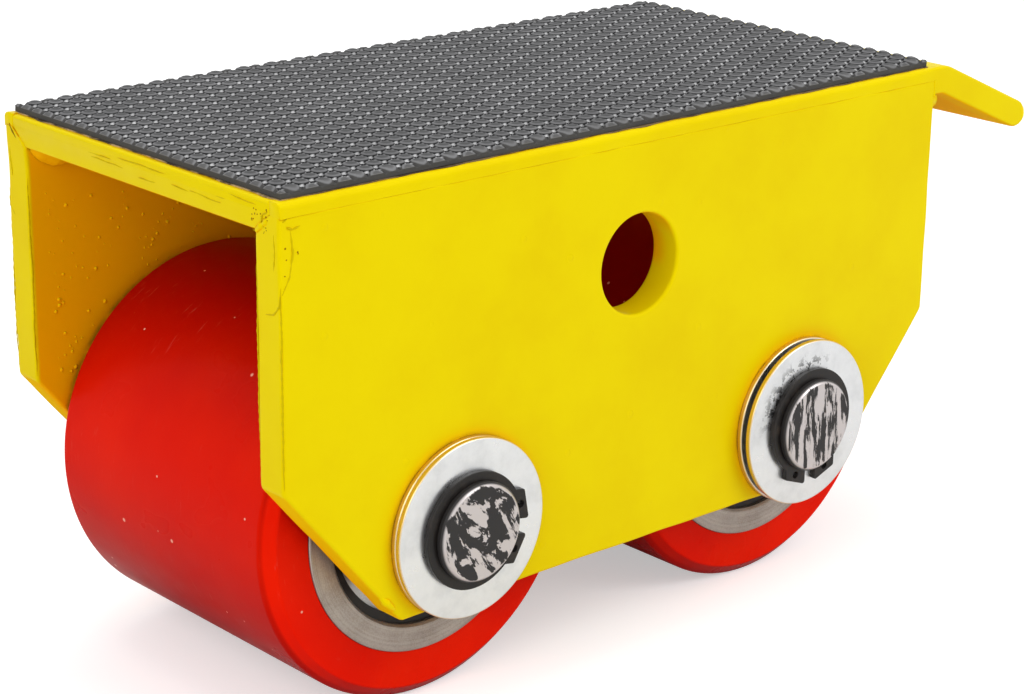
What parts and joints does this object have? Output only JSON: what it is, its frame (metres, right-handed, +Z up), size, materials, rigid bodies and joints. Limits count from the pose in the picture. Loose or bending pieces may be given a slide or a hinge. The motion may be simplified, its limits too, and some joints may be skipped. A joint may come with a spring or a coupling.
{
  "type": "machine skate",
  "caption": "Low welded steel load dolly on wide polyurethane rollers, with a rubber grip pad on top, a bent-down end lip and a cross hole for a tie bar.",
  "frame": {"origin": "on the floor, under the middle of the whole length and width", "axes": "+X along the length towards the bent lip, +Y to the left side, +Z up"},
  "size_m": [0.2076, 0.1022, 0.1115],
  "materials": {
    "yellow_paint": "gloss enamel, a little uneven over the welds",
    "grip_rubber": "matt, studded",
    "glue": "dried, satin",
    "axle_steel": "bright with worn black coating",
    "zinc_plate": "bright zinc",
    "blackened_steel": "black oxide",
    "red_polyurethane": "semi-gloss",
    "hub_steel": "turned",
    "bearing_steel": "ground",
    "shield_steel": "pressed sheet"
  },
  "bodies": {
    "frame": {"top_plate": "yellow_paint", "lip_welds": "yellow_paint", "pad_glue": "glue", "grip_pad": "grip_rubber", "right_side_plate": "yellow_paint", "right_corner_weld": "yellow_paint", "right_inner_weld": "yellow_paint", "left_side_plate": "yellow_paint", "left_corner_weld": "yellow_paint", "left_inner_weld": "yellow_paint", "front_axle": "axle_steel", "front_spacers": "zinc_plate", "front_inner_races": "bearing_steel", "front_right_circlip": "blackened_steel", "front_right_washers": "zinc_plate", "front_left_circlip": "blackened_steel", "front_left_washers": "zinc_plate", "rear_axle": "axle_steel", "rear_spacers": "zinc_plate", "rear_inner_races": "bearing_steel", "rear_right_circlip": "blackened_steel", "rear_right_washers": "zinc_plate", "rear_left_circlip": "blackened_steel", "rear_left_washers": "zinc_plate"},
    "front_roller": {"front_tyre": "red_polyurethane", "front_hub": "hub_steel", "front_outer_races": "bearing_steel", "front_shields": "shield_steel", "front_retaining_rings": "blackened_steel"},
    "rear_roller": {"rear_tyre": "red_polyurethane", "rear_hub": "hub_steel", "rear_outer_races": "bearing_steel", "rear_shields": "shield_steel", "rear_retaining_rings": "blackened_steel"}
  },
  "joints": [
    {"name": "front_roller_spin", "type": "hinge", "parent": "frame", "child": "front_roller", "pos_m": [-0.06127, 0, 0.039], "axis": [0, 1, 0], "continuous": true},
    {"name": "rear_roller_spin", "type": "hinge", "parent": "frame", "child": "rear_roller", "pos_m": [0.03173, 0, 0.039], "axis": [0, 1, 0], "continuous": true}
  ]
}
